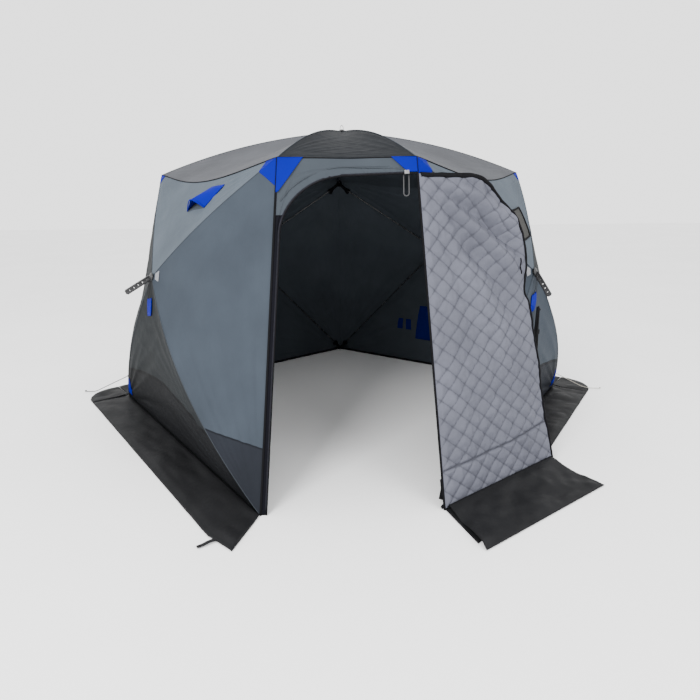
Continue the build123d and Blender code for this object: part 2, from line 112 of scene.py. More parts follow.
# ---- materials ------------------------------------------------------------------------
class Shader:
    """A node material: a Principled shader, and short ways to feed its colour and its bump."""

    def __init__(self, name, roughness=0.6, metallic=0.0, specular=0.5):
        self.material = bpy.data.materials.new(name)
        self.material.use_nodes = True
        self.tree = self.material.node_tree
        self.shader = self.tree.nodes["Principled BSDF"]
        self.shader.inputs["Roughness"].default_value = roughness
        self.shader.inputs["Metallic"].default_value = metallic
        self.shader.inputs["Specular IOR Level"].default_value = specular
        self.place = self.tree.nodes.new("ShaderNodeTexCoord").outputs["Object"]
        self.height = None

    def node(self, kind, **values):
        made = self.tree.nodes.new(kind)
        for key, value in values.items():
            setattr(made, key, value)
        return made

    def link(self, a, b):
        self.tree.links.new(a, b)

    def noise(self, scale, detail=3.0, roughness=0.5):
        made = self.node("ShaderNodeTexNoise")
        made.inputs["Scale"].default_value = scale
        made.inputs["Detail"].default_value = detail
        made.inputs["Roughness"].default_value = roughness
        self.link(self.place, made.inputs["Vector"])
        return made.outputs["Fac"]

    def wave(self, scale, direction="X", distortion=0.0):
        made = self.node("ShaderNodeTexWave", bands_direction=direction)
        made.inputs["Scale"].default_value = scale
        made.inputs["Distortion"].default_value = distortion
        self.link(self.place, made.inputs["Vector"])
        return made.outputs["Fac"]

    def maths(self, operation, a, b=0.5):
        made = self.node("ShaderNodeMath", operation=operation)
        for socket, value in zip(made.inputs, (a, b)):
            if isinstance(value, (int, float)):
                socket.default_value = value
            else:
                self.link(value, socket)
        return made.outputs[0]

    def spread(self, fac, low, high, start=0.3, end=0.7):
        """Colour ramp from low to high."""
        ramp = self.node("ShaderNodeValToRGB")
        ramp.color_ramp.elements[0].position = start
        ramp.color_ramp.elements[1].position = end
        ramp.color_ramp.elements[0].color = (*low, 1)
        ramp.color_ramp.elements[1].color = (*high, 1)
        self.link(fac, ramp.inputs["Fac"])
        return ramp.outputs["Color"]

    def mix(self, fac, low, high):
        made = self.node("ShaderNodeMixRGB")
        self.link(fac, made.inputs["Fac"])
        for name, value in (("Color1", low), ("Color2", high)):
            if isinstance(value, tuple):
                made.inputs[name].default_value = (*value, 1)
            else:
                self.link(value, made.inputs[name])
        return made.outputs["Color"]

    def colour(self, source):
        if isinstance(source, tuple):
            self.shader.inputs["Base Color"].default_value = (*source, 1)
        else:
            self.link(source, self.shader.inputs["Base Color"])

    def rough(self, fac, low, high):
        ramp = self.node("ShaderNodeMapRange")
        ramp.inputs["To Min"].default_value = low
        ramp.inputs["To Max"].default_value = high
        self.link(fac, ramp.inputs["Value"])
        self.link(ramp.outputs["Result"], self.shader.inputs["Roughness"])

    def bump(self, fac, distance, strength=1.0):
        made = self.node("ShaderNodeBump")
        made.inputs["Distance"].default_value = distance
        made.inputs["Strength"].default_value = strength
        self.link(fac, made.inputs["Height"])
        if self.height is not None:
            self.link(self.height, made.inputs["Normal"])
        self.height = made.outputs["Normal"]
        self.link(self.height, self.shader.inputs["Normal"])


dye = 0.40  # every cloth colour is darkened by this share
seam_share = 0.012  # half width of the stitched line between two colours, in band values
weave = 0.0007


def shade(colour, factor):
    return tuple(min(1.0, channel * factor) for channel in colour)


def cloth_material(
    name, colour, below=None, quilted=False, roughness=0.62, mottle=0.12, specular=0.03
):
    """Coated woven polyester. Where the mesh's band value is under 0 the cloth has the below colour."""
    m = Shader(name, roughness=roughness, specular=specular)
    colour = shade(colour, dye)
    broad = m.noise(3.0, 4.0)
    tone = m.spread(broad, shade(colour, 1 - mottle), shade(colour, 1 + mottle))
    if below is not None:
        below = shade(below, dye)
        band = m.node("ShaderNodeAttribute", attribute_name="band").outputs["Fac"]
        lower = m.spread(broad, shade(below, 1 - mottle), shade(below, 1 + mottle))
        tone = m.mix(m.maths("GREATER_THAN", band, 0.0), lower, tone)
        stitched = m.maths("LESS_THAN", m.maths("ABSOLUTE", band), seam_share)
        tone = m.mix(stitched, tone, shade(below, 0.6))
        m.bump(stitched, 0.0015, 0.8)
    if quilted:
        puff = m.node("ShaderNodeAttribute", attribute_name="puff").outputs["Fac"]
        # The quilting lines and the foot seam are painted down to half brightness: painted shade in the
        # grooves between the padded diamonds.
        groove = m.spread(puff, (0, 0, 0), (1, 1, 1), 0.08, 0.45)
        tone = m.mix(groove, shade(colour, 0.50), tone)
    m.colour(tone)
    threads = m.maths("MULTIPLY", m.wave(0.16 / weave, "X"), m.wave(0.16 / weave, "Z"))
    m.bump(threads, 0.0002, 0.35)
    m.bump(m.noise(55.0, 5.0, 0.6), 0.0012, 0.5)
    m.bump(m.noise(9.0, 3.0), 0.004, 0.35)
    m.rough(m.noise(20.0, 3.0), roughness - 0.08, roughness + 0.1)
    return m.material


def webbing_material(name, colour):
    """Woven strap: ribs across it and a matt nap."""
    m = Shader(name, roughness=0.8, specular=0.12)
    ribs = m.maths("MAXIMUM", m.wave(160.0, "DIAGONAL"), m.wave(120.0, "Z"))
    m.colour(m.spread(m.noise(60.0), shade(colour, 0.75), shade(colour, 1.4)))
    m.bump(ribs, 0.0006, 0.7)
    return m.material


def plastic_material(name, colour, roughness=0.45):
    m = Shader(name, roughness=roughness, specular=0.5)
    m.colour(m.spread(m.noise(25.0, 4.0), shade(colour, 0.85), shade(colour, 1.25)))
    m.bump(m.noise(420.0, 2.0), 0.0003, 0.35)
    m.rough(m.noise(12.0, 4.0), roughness - 0.08, roughness + 0.12)
    return m.material


def metal_material(name, colour):
    m = Shader(name, roughness=0.28, metallic=1.0)
    m.colour(m.spread(m.noise(40.0, 3.0), shade(colour, 0.85), shade(colour, 1.1)))
    m.bump(m.noise(300.0, 3.0), 0.0002, 0.3)
    m.rough(m.noise(90.0, 3.0), 0.2, 0.4)
    return m.material


def rope_material(name, colour):
    m = Shader(name, roughness=0.8, specular=0.12)
    strands = m.wave(90.0, "DIAGONAL", 1.0)
    # The colour is darker in the troughs of the strand wave: painted shade in the grooves between the
    # strands.
    m.colour(m.spread(strands, shade(colour, 0.55), shade(colour, 1.15), 0.2, 0.8))
    m.bump(strands, 0.0012, 0.9)
    return m.material


def mesh_material(name, colour):
    """Window mesh: a fine grid of threads over gaps painted dark, partly the black lining behind and partly
    painted shade for the unlit inside seen through the mesh.
    """
    m = Shader(name, roughness=0.8, specular=0.03)
    grid = m.maths("MAXIMUM", m.wave(130.0, "X"), m.wave(130.0, "Z"))
    m.colour(m.spread(grid, shade(colour, 0.55), colour, 0.35, 0.75))
    m.bump(grid, 0.0006, 0.5)
    return m.material


light_grey = (0.150, 0.182, 0.220)
main_grey = (0.078, 0.096, 0.121)
dark_grey = (0.027, 0.031, 0.034)
band_black = (0.0160, 0.0168, 0.0190)
navy_grey = (0.032, 0.036, 0.046)
top_cloth = cloth_material("cloth_top_grey", light_grey)
main_cloth = cloth_material("cloth_main_grey", main_grey, below=navy_grey)
dark_cloth = cloth_material("cloth_dark_grey", dark_grey, below=band_black)
roof_front_cloth = cloth_material("cloth_roof_front", (0.023, 0.026, 0.031))
roof_side_cloth = cloth_material("cloth_roof_side", (0.150, 0.156, 0.173))
header_cloth = cloth_material("cloth_header", (0.082, 0.097, 0.115), below=(0.009, 0.009, 0.014))
skirt_cloth = cloth_material("cloth_skirt", (0.0200, 0.0205, 0.0225), roughness=0.6, specular=0.09)
inner_cloth = cloth_material("cloth_inside_black", (0.088, 0.104, 0.124), roughness=0.85)
door_cloth = cloth_material("cloth_door_outside", main_grey)
lining_cloth = cloth_material(
    "lining_silver", (0.205, 0.212, 0.262), roughness=0.5, mottle=0.14, quilted=True
)
blue_cloth = cloth_material("cloth_blue", (0.000, 0.006, 0.42), roughness=0.6, mottle=0.10)
pocket_navy = cloth_material("cloth_pocket_navy", (0.006, 0.014, 0.20))
tab_grey = cloth_material("tab_light_grey", (0.45, 0.46, 0.50))
binding = cloth_material("binding_black", (0.012, 0.012, 0.014), roughness=0.7)
seam_dark = cloth_material("seam_tape_grey", (0.085, 0.098, 0.115), roughness=0.6)
black_strap = webbing_material("webbing_black", (0.010, 0.010, 0.011))
hub_plastic = plastic_material("plastic_hub_black", (0.014, 0.014, 0.015))
rod_gloss = plastic_material("fibreglass_black", (0.006, 0.006, 0.007), roughness=0.25)
handle_plastic = plastic_material("plastic_handle_black", (0.008, 0.008, 0.009), roughness=0.35)
zip_black = webbing_material("zip_coil_black", (0.007, 0.007, 0.010))
steel = metal_material("steel_plated", (0.24, 0.24, 0.25))
ring_grey = plastic_material("ring_grey", (0.020, 0.020, 0.022), roughness=0.6)
pale_rope = rope_material("rope_pale", (0.42, 0.40, 0.35))
black_rope = rope_material("rope_black", (0.010, 0.010, 0.011))
window_mesh = mesh_material("window_mesh_grey", (0.050, 0.050, 0.048))


# ---- mesh helpers ---------------------------------------------------------------------
def waver(x, y, z):
    """Smooth noise from -1 to 1 at a point."""
    return noise.noise(Vector((x, y, z)))


def surface(rows, columns, place):
    """Grid of place(i, j), with i running 0 to 1 over the rows and j over the columns."""
    return [[place(i / (rows - 1), j / (columns - 1)) for j in range(columns)] for i in range(rows)]


def link_object(name, data):
    obj = bpy.data.objects.new(name, data)
    bpy.context.scene.collection.objects.link(obj)
    return obj


def new_object(name, vertices, faces, materials, smooth=True):
    mesh = bpy.data.meshes.new(name)
    mesh.from_pydata([tuple(v) for v in vertices], [], faces)
    for material in materials:
        mesh.materials.append(material)
    mesh.polygons.foreach_set("use_smooth", [smooth] * len(mesh.polygons))
    mesh.update()
    return link_object(name, mesh)


def grid_faces(rows, columns, offset=0, flip=False):
    faces = []
    for i in range(rows - 1):
        for j in range(columns - 1):
            a = offset + i * columns + j
            face = (a, a + 1, a + columns + 1, a + columns)
            faces.append(face[::-1] if flip else face)
    return faces


def shell(name, outer, inner, materials):
    """Closed sheet between two grids of points of the same size; the inner side takes the last slot."""
    rows, columns = len(outer), len(outer[0])
    count = rows * columns
    vertices = [p for row in outer for p in row] + [p for row in inner for p in row]
    faces = grid_faces(rows, columns)
    back = grid_faces(rows, columns, count, flip=True)
    slots = [0] * len(faces) + [len(materials) - 1] * len(back)
    faces += back
    loop = list(range(columns))
    loop += [i * columns + columns - 1 for i in range(1, rows)]
    loop += [(rows - 1) * columns + j for j in range(columns - 2, -1, -1)]
    loop += [i * columns for i in range(rows - 2, 0, -1)]
    for a, b in zip(loop, loop[1:] + loop[:1]):
        faces.append((b, a, a + count, b + count))
        slots.append(0)
    obj = new_object(name, vertices, faces, materials)
    obj.data.polygons.foreach_set("material_index", slots)
    return obj


def offset_grid(points, distance):
    """The grid moved along its own normals."""
    rows, columns = len(points), len(points[0])
    moved = []
    for i in range(rows):
        row = []
        for j in range(columns):
            along = points[i][min(j + 1, columns - 1)] - points[i][max(j - 1, 0)]
            up = points[min(i + 1, rows - 1)][j] - points[max(i - 1, 0)][j]
            normal = along.cross(up)
            normal = normal.normalized() if normal.length > 1e-12 else Vector((0, 0, 0))
            row.append(points[i][j] + normal * distance)
        moved.append(row)
    return moved


def sheet_object(name, points, thickness, materials):
    """Cloth of some thickness whose outer side is the grid, facing along x(row) cross y(column)."""
    return shell(name, points, offset_grid(points, -thickness), materials)


def ribbon(name, line, sides, width, thickness, material):
    """Flat strap along a line; sides gives its width direction at each point."""
    outer, inner = [], []
    for k, (p, side) in enumerate(zip(line, sides)):
        tangent = line[min(k + 1, len(line) - 1)] - line[max(k - 1, 0)]
        normal = tangent.cross(side).normalized()
        row, low = [], []
        for share in (-0.5, -0.42, -0.15, 0.15, 0.42, 0.5):
            crown = 0.35 if abs(share) == 0.5 else 1.0
            row.append(p + side * width * share + normal * thickness * 0.5 * crown)
            low.append(p + side * width * share - normal * thickness * 0.5 * crown)
        outer.append(row)
        inner.append(low)
    return shell(name, outer, inner, [material])


def ring_faces(count, sides, closed=False):
    """Faces of a tube of count rings, with its two ends unless it is closed on itself."""
    faces = []
    for k in range(count if closed else count - 1):
        m = (k + 1) % count
        for s in range(sides):
            t = (s + 1) % sides
            faces.append((k * sides + s, k * sides + t, m * sides + t, m * sides + s))
    if not closed:
        faces.append(tuple(range(sides))[::-1])
        faces.append(tuple((count - 1) * sides + s for s in range(sides)))
    return faces


def tube(name, line, radius, material, sides=10, closed=False):
    """Round tube along a line, with its own frame carried from point to point."""
    vertices = []
    count = len(line)
    normal = None
    for k, p in enumerate(line):
        before = line[k - 1] if closed or k else line[0]
        after = line[(k + 1) % count] if closed or k + 1 < count else line[-1]
        tangent = (after - before).normalized()
        if normal is None:
            normal = tangent.orthogonal().normalized()
        normal = (normal - tangent * normal.dot(tangent)).normalized()
        across = tangent.cross(normal)
        for s in range(sides):
            a = 2 * pi * s / sides
            vertices.append(p + (normal * cos(a) + across * sin(a)) * radius)
    return new_object(name, vertices, ring_faces(count, sides, closed), [material])


def smooth(x, low, high):
    t = min(1.0, max(0.0, (x - low) / (high - low)))
    return t * t * (3 - 2 * t)


def between(a, b, share):
    return a + (b - a) * share


def finish_piece(obj, body, slot, *nodes):
    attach(obj, body)
    if nodes:
        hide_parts(*nodes)
    return obj


# ---- surfaces -------------------------------------------------------------------------
def outward(index):
    return (base[index] - axis_point).normalized()


def corner_edge(index, share):
    """Corner seam from base to roof: straight by the door, elsewhere full near the base."""
    p = between(base[index], roof[index], share)
    if index in (0, 4):
        return p
    swell = 0.030 * exp(-(((share - 0.20) / 0.14) ** 2)) - 0.010 * sin(pi * share)
    return p + outward(index) * swell * smooth(share, 0.0, 0.06)


class Wall:
    """Frame of one hub wall, as in the CAD."""

    def __init__(self, index):
        a, b = base[index], base[index + 1]
        ta, tb = roof[index], roof[index + 1]
        mid_base, self.mid_top = between(a, b, 0.5), between(ta, tb, 0.5)
        self.index = index
        self.along = (b - a).normalized()
        self.up = (self.mid_top - mid_base).normalized()
        self.out = self.along.cross(self.up)
        if self.out.dot(mid_base - axis_point) < 0:
            self.out = -self.out
        self.foot = between(mid_base, self.mid_top, hub_rise)
        self.hub = self.foot + self.out * wall_bulge
        self.dip = (self.hub - self.mid_top).normalized() * eave_sag


walls = [Wall(index) for index in range(4)]


def eave(index, share):
    """Eave between two roof corners: it dips on the hub walls and is straight over the door."""
    if index == 4:
        return between(roof[4], roof[0], share) - UP * 0.006 * sin(pi * share)
    wall = walls[index]
    return between(roof[index], roof[index + 1], share) + wall.dip * sin(pi * share) ** 1.15


def folds(p, centre, u, v, seed, reach, height):
    """Creases that fan out of a corner."""
    count = 9.0
    d = p - centre
    x, y = d.dot(u), d.dot(v)
    r = hypot(x, y)
    angle = atan2(y, x)
    ridge = waver(angle * count, seed, r * 0.8)
    fine = waver(angle * count * 1.8, seed + 9, r * 1.1)
    sharp = (1 - sqrt(ridge * ridge + 0.030)) ** 3 - 0.14 + 0.25 * (1 - sqrt(fine * fine + 0.02)) ** 3
    return height * sharp * (r / reach) * exp(1 - r / reach) * smooth(r, 0.05, 0.30)


pole_room = 0.017  # how far the cloth stands off the poles


class Facet:
    """One cloth panel between a rim and a hub. u runs along the rim, v from the rim to the hub."""

    def __init__(self, rim, a, b, hub, out, bows, body, creases, seed, dip=0.30):
        self.rim, self.a, self.b, self.hub, self.out = rim, a, b, hub, out
        self.bows, self.body, self.creases, self.seed, self.dip = bows, body, creases, seed, dip
        chord = (b - a).normalized()
        self.start = a + chord * (hub - a).dot(chord)
        self.reach = (hub - self.start).length
        self.chord = chord
        self.upward = (hub - self.start).normalized()
        normal = chord.cross(self.upward)
        self.normal = normal if normal.dot(out) > 0 else -normal

    def point(self, u, v, lift=0.0):
        p = between(self.rim(u), self.hub, v)
        bow = sin(pi * min(1.0, max(0.0, v))) ** 0.85
        swell = self.bows[0] * (1 - u) + self.bows[1] * u + pole_room
        p = p + self.out * swell * bow * (1 - self.dip * sin(pi * u) ** 0.8)
        edge = smooth(u, 0.0, 0.07) * smooth(1 - u, 0.0, 0.07) * smooth(v, 0.0, 0.06)
        rise = 0.0
        for centre, reach, height in self.creases:
            rise += folds(p, centre, self.chord, self.upward, self.seed, reach, height)
        rise += 0.0045 * waver(p.x * 2.3, p.y * 2.3, p.z * 2.3 + self.seed)
        p = p + self.normal * rise * edge
        return p + self.normal * lift

    def blend(self, obj, slot):
        tuple(self.start)
        tuple(self.hub)
        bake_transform(obj)
        return obj


def wall_facets(wall):
    """The four panels of a hub wall: bottom, the two sides and the top, outer side first."""
    i = wall.index
    low_a, low_b, high_b, high_a = wall_bows[i]
    body = "hub_" + wall_names[i]
    a, b, ta, tb = base[i], base[i + 1], roof[i], roof[i + 1]
    low = 0.019
    low_b_fold = low if i < 3 else 0.004  # the door corner is drawn tight
    return {
        "bottom": Facet(
            lambda u: between(a, b, u), a, b, wall.hub, wall.out, (low_a, low_b), body,
            [(a, 0.42, low), (b, 0.42, low_b_fold)], 1.7 + i,
        ),
        "far": Facet(
            lambda u: corner_edge(i + 1, u), b, tb, wall.hub, wall.out, (low_b, high_b), body,
            [(b, 0.40, low_b_fold), (tb, 0.25, 0.011)], 5.1 + i,
        ),
        "top": Facet(
            lambda u: eave(i, 1 - u), tb, ta, wall.hub, wall.out, (high_b, high_a), body,
            [(tb, 0.25, 0.011), (ta, 0.25, 0.011)], 8.3 + i,
        ),
        "near": Facet(
            lambda u: corner_edge(i, 1 - u), ta, a, wall.hub, wall.out, (high_a, low_a), body,
            [(a, 0.45, 0.018), (ta, 0.25, 0.008)], 11.9 + i,
        ),
    }


# Outward bow of each wall's four seams, under the poles' spring: lower a, lower b, upper b, upper a.
wall_bows = [
    (0.088, 0.035, 0.000, 0.020),
    (0.050, 0.050, 0.020, 0.020),
    (0.050, 0.050, 0.020, 0.020),
    (0.075, 0.015, 0.000, 0.008),
]
facets = {wall_names[w.index]: wall_facets(w) for w in walls}
roof_bow = 0.038


def roof_facet(index):
    nxt = (index + 1) % 5
    a, b = roof[index], roof[nxt]
    return Facet(
        lambda u: eave(index, u), a, b, peak, UP, (roof_bow, roof_bow), "hub_roof",
        [(a, 0.25, 0.005), (b, 0.25, 0.005)], 21.3 + index, dip=0.55,
    )


roof_facets = [roof_facet(index) for index in range(5)]
seam_stand = 0.0005  # how far piping stands off the cloth
stud_gap = 0.018  # the cloth stops this far short of the hub's centre
cloth_thickness = 0.002


def faces_out(points, out):
    """True if a grid of points has its normals on the outer side."""
    i, j = len(points) // 3, len(points[0]) // 2
    along = points[i][j + 1] - points[i][j]
    up = points[i + 1][j] - points[i][j]
    return along.cross(up).dot(out) > 0


def outward_grid(points, out):
    return points if faces_out(points, out) else [row[::-1] for row in points]


def triangle_area(a, b, c):
    return (b - a).cross(c - a).length / 2


def cloth_panel(name, facet, material, slot, band=None):
    """One sewn panel from its rim to the hub, 2 mm thick with the black lining behind it."""
    columns, rows = 100, 72
    last = 1 - stud_gap / facet.reach
    # Columns and rows crowd towards the rim's corners, where the folds are narrow.
    us = [j / (columns - 1) - 0.11 * sin(2 * pi * j / (columns - 1)) for j in range(columns)]
    vs = [last * (i / (rows - 1)) ** 1.3 for i in range(rows)]
    grid = [[facet.point(u, v) for u in us] for v in vs]
    if not faces_out(grid, facet.out):
        us = us[::-1]
        grid = [row[::-1] for row in grid]
    obj = sheet_object(name, grid, cloth_thickness, [material, inner_cloth])
    if band:
        values = [band(u, v) for v in vs for u in us] * 2
        obj.data.attributes.new("band", "FLOAT", "POINT").data.foreach_set("value", values)
    facet.blend(obj, slot)
    area = triangle_area(facet.a, facet.b, facet.hub)
    return obj


def quad_grid(corners, columns, rows, place):
    """Grid of place(u, v) over the quadrilateral whose (u, v) corners are given in order."""
    c0, c1, c2, c3 = [Vector(c) for c in corners]
    return surface(rows, columns, lambda i, j: place(*between(between(c0, c3, i), between(c1, c2, i), j)))


def patch_on(name, facet, corners, material, slot, lift=0.0030, thickness=0.0022, size=(24, 16)):
    """Sewn piece over part of a facet; its corners are (u, v) pairs in order."""
    grid = quad_grid(corners, size[0], size[1], lambda u, v: facet.point(u, v, lift))
    obj = sheet_object(name, outward_grid(grid, facet.out), thickness, [material])
    facet.blend(obj, slot)
    return obj


def sheet_between(name, corners, out, material, bulge):
    """Sheet over four points in order, bulged along out."""
    p0, p1, p2, p3 = corners

    def place(t, s):
        left, right = between(p0, p3, t), between(p1, p2, t)
        return between(left, right, s) + out * bulge * sin(pi * s) * sin(pi * t)

    grid = surface(16, 24, place)
    return sheet_object(name, outward_grid(grid, out), cloth_thickness, [material])


# ---- cords: guy lines and the spare rope ----------------------------------------------
def nurbs(name, points, radius, material):
    curve = bpy.data.curves.new(name, "CURVE")
    curve.dimensions = "3D"
    spline = curve.splines.new("NURBS")
    spline.points.add(len(points) - 1)
    for point, place in zip(spline.points, points):
        point.co = (*place, 1)
    spline.order_u = 3
    spline.use_endpoint_u = True
    curve.resolution_u = 8
    curve.bevel_depth = radius
    curve.bevel_resolution = 4
    curve.use_fill_caps = True
    curve.materials.append(material)
    return link_object(name, curve)


left_route = [
    (-1.828, 0.226, 0.176), (-2.080, 0.292, 0.052), (-2.150, 0.316, 0.014), (-2.205, 0.331, 0.0065),
    (-2.255, 0.341, 0.006),
]
right_route = [
    (1.841, 0.230, 0.131), (2.020, 0.178, 0.044), (2.080, 0.160, 0.014), (2.135, 0.141, 0.0065),
    (2.185, 0.133, 0.006), (2.222, 0.133, 0.0055),
]


def knot(name, place, size, material, body, slot):
    """Overhand knot: three lobes of the cord pulled tight."""
    line = []
    for k in range(60):
        a = 2 * pi * k / 60
        r = size * (0.55 + 0.3 * cos(3 * a))
        line.append(place + Vector((r * cos(2 * a), r * sin(2 * a), size * 0.45 * sin(3 * a))))
    obj = tube(name, line, size * 0.32, material, closed=True)
    return finish_piece(obj, body, slot)


def guy_line(name, route, radius, material, slot):
    obj = nurbs(name, route, radius, material)
    finish_piece(obj, "shell", slot, name)
    end = Vector(route[-1])
    tie = knot(f"{name}_knot", end + UP * radius * 1.2, radius * 2.6, material, "shell", slot)
    hitch = knot(f"{name}_hitch", Vector(route[0]), radius * 2.4, material, "shell", slot)


hank_turns = 8
hank_steps = 14  # points in a turn
hank_radius = 0.0025
hank_half_high, hank_half_wide = 0.168, 0.025


def hank_route():
    """Turns of an upright hank below the front-right hub: narrow loops that differ in length."""
    wall = walls[3]
    out = Vector((wall.out.x, wall.out.y, 0)).normalized()
    top = wall.hub - UP * 0.190 + out * 0.045
    points = []
    for k in range(hank_turns * hank_steps):
        turn, step = divmod(k, hank_steps)
        a = 2 * pi * step / hank_steps
        loose = waver(turn * 1.7, 4.2, 0)
        half_high = hank_half_high + 0.024 * loose
        half_wide = hank_half_wide + 0.006 * waver(turn * 2.3, 8.8, 0)
        waist = 1 - 0.62 * exp(-((cos(a) / 0.35) ** 2))
        shift = out * (0.0045 * (turn - hank_turns / 2) * 0.55)
        place = top - UP * (0.195 - half_high * cos(a)) + wall.along * half_wide * waist * sin(a) + shift
        points.append(tuple(place + out * 0.004 * sin(2 * a)))
    return points


def make_cords():
    guy_line("guy_line_left", left_route, 0.003, black_strap, "black_webbing")
    guy_line("guy_line_right", right_route, 0.0025, pale_rope, "pale_rope")


def make_hank():
    route = hank_route()
    obj = nurbs("rope_hank_turns", route, hank_radius, black_rope)
    finish_piece(obj, "shell", "black_rope", "rope_hank")
    middle = sum((Vector(p) for p in route), Vector()) / len(route)
    wraps = []
    for k in range(100):
        a = 2 * pi * k / 16
        around = walls[3].along * 0.016 * cos(a)
        wraps.append(middle + around + walls[3].out * 0.020 * sin(a) + UP * (k - 50) * 0.0003)
    tie = tube("rope_hank_tie", wraps, 0.0024, black_rope)
    finish_piece(tie, "shell", "black_rope")
    end = knot("rope_hank_knot", Vector(route[-1]), 0.008, black_rope, "shell", "black_rope")


# ---- cloth shell ----------------------------------------------------------------------
def bottom_band(u, v):
    """Under 0 in the black band along the base, whose top edge is an arc."""
    end_height, arc_rise = 0.285, 0.095
    return v - (end_height + arc_rise * sin(pi * u) ** 0.7)


def near_band(u, v):
    """Under 0 in the dark corner piece at the base of a side panel."""
    wide, high = 0.19, 0.33
    return (1 - u) * (1 - v) / wide + v / high - 1


def far_band(u, v):
    return near_band(1 - u, v)


wall_colours = {
    "front_left": {"bottom": dark_cloth, "far": dark_cloth, "top": top_cloth, "near": main_cloth},
    "back_left": {"bottom": dark_cloth, "far": main_cloth, "top": top_cloth, "near": main_cloth},
    "back_right": {"bottom": dark_cloth, "far": main_cloth, "top": top_cloth, "near": main_cloth},
    "front_right": {"bottom": main_cloth, "far": main_cloth, "top": top_cloth, "near": dark_cloth},
}
bands = {"bottom": bottom_band, "near": near_band, "far": far_band, "top": None}
wall_seams = {
    "lower_a": ("bottom", 0), "lower_b": ("bottom", 1), "upper_b": ("top", 0), "upper_a": ("top", 1),
}


def seam_line(facet, u):
    """Points from the rim to the hub along one side of a panel."""
    last = 1 - stud_gap / facet.reach
    return [facet.point(u, last * k / 60, seam_stand) for k in range(61)]


def make_walls():
    for name, parts in facets.items():
        for part, facet in parts.items():
            material = wall_colours[name][part]
            obj = cloth_panel(f"panel_{name}_{part}", facet, material, "wall_cloth", bands[part])
            if part == "bottom":
                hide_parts(f"wall_{name}", f"hub_patch_{name}")
        for seam, (part, u) in wall_seams.items():
            facet = facets[name][part]
            piping = tube(f"seam_{name}_{seam}", seam_line(facet, u), 0.0018, seam_dark, sides=8)
            facet.blend(piping, "wall_cloth")


def make_roof():
    for index, facet in enumerate(roof_facets):
        material = roof_front_cloth if index == 4 else roof_side_cloth
        obj = cloth_panel(f"roof_panel_{index + 1}", facet, material, "roof_cloth")
        if index == 0:
            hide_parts("roof", "hub_patch_roof")
        seam = tube(f"roof_seam_{index + 1}", seam_line(facet, 0), 0.0022, seam_dark, sides=8)
        facet.blend(seam, "roof_cloth")
        rim = [eave(index, k / 80) + UP * 0.002 for k in range(81)]
        finish_piece(tube(f"eave_piping_{index + 1}", rim, 0.0034, binding, sides=8), "shell", "roof_cloth")


def make_corner_seams():
    for index in range(5):
        line = [corner_edge(index, k / 60) + outward(index) * 0.001 for k in range(61)]
        material, radius = (binding, 0.0060) if index in (0, 4) else (seam_dark, 0.0026)
        finish_piece(tube(f"corner_seam_{index + 1}", line, radius, material, sides=8), "shell", "wall_cloth")


# ---- door wall ------------------------------------------------------------------------
front_mid, front_top = between(base[0], base[4], 0.5), between(roof[0], roof[4], 0.5)
front_up = (front_top - front_mid).normalized()
front_slant = (front_top - front_mid).length
front_out = RIGHT.cross(front_up).normalized()
arch_top = arch_springing + arch_height


def on_front(x, s, lift=0.0):
    return front_mid + RIGHT * x + front_up * s + front_out * lift


def edge_x(s):
    return front_width / 2 - (front_width / 2) * (1 - roof_scale) * s / front_slant


def jamb_x(s):
    return -(edge_x(s) - jamb_width)


def arch_line(t):
    """Edge of the doorway: t 0 to 1 up the jamb, to 2 round the arch and to 3 along the top."""
    if t <= 1:
        return jamb_x(arch_springing * t), arch_springing * t
    if t <= 2:
        a = (t - 1) * pi / 2
        return jamb_x(arch_springing) * cos(a), arch_springing + arch_height * sin(a)
    x = (t - 2) * edge_x(arch_top)
    return x, arch_top + arch_rise_right * (t - 2)


def rim_line(t):
    """Edge of the door wall that faces arch_line."""
    x, s = arch_line(t)
    if t <= 1:
        return -edge_x(s), s
    if t >= 2:
        return x, front_slant
    dx, ds = x, s - arch_springing
    best = 10.0
    slope = (edge_x(front_slant) - edge_x(arch_springing)) / (front_slant - arch_springing)
    if dx < -1e-6:
        best = -edge_x(arch_springing) / (dx + slope * ds)
    if ds > 1e-6:
        best = min(best, (front_slant - arch_springing) / ds)
    return dx * best, arch_springing + ds * best


def header_wrinkle(t, w, x, s):
    """Puckers beside the sewn arch and soft diagonal folds above it."""
    if t < 0.95:
        return 0.0
    pucker = 0.0030 * waver(t * 34, w * 1.5, 3.1) * exp(-(((w - 0.12) / 0.3) ** 2))
    fold = 0.0065 * waver(x * 5.5 + s * 7.5, x * 1.2, 7.7)
    groove = -0.0035 * exp(-(((w - 0.42) / 0.035) ** 2)) if t < 2.6 else 0.0
    edge = smooth(1 - w, 0.0, 0.15)
    return (pucker + fold + groove) * edge * smooth(w, 0.0, 0.08) * smooth(t, 0.95, 1.15)


def make_base_piping():
    """Black binding along the foot of each wall."""
    for index, wall in enumerate(walls):
        a, b = base[index], base[index + 1]
        out = Vector((wall.out.x, wall.out.y, 0)).normalized()
        line = [between(a, b, k / 60) + UP * 0.011 - out * 0.013 for k in range(61)]
        finish_piece(tube(f"base_piping_{index + 1}", line, 0.0095, binding, sides=10), "shell", "wall_cloth")


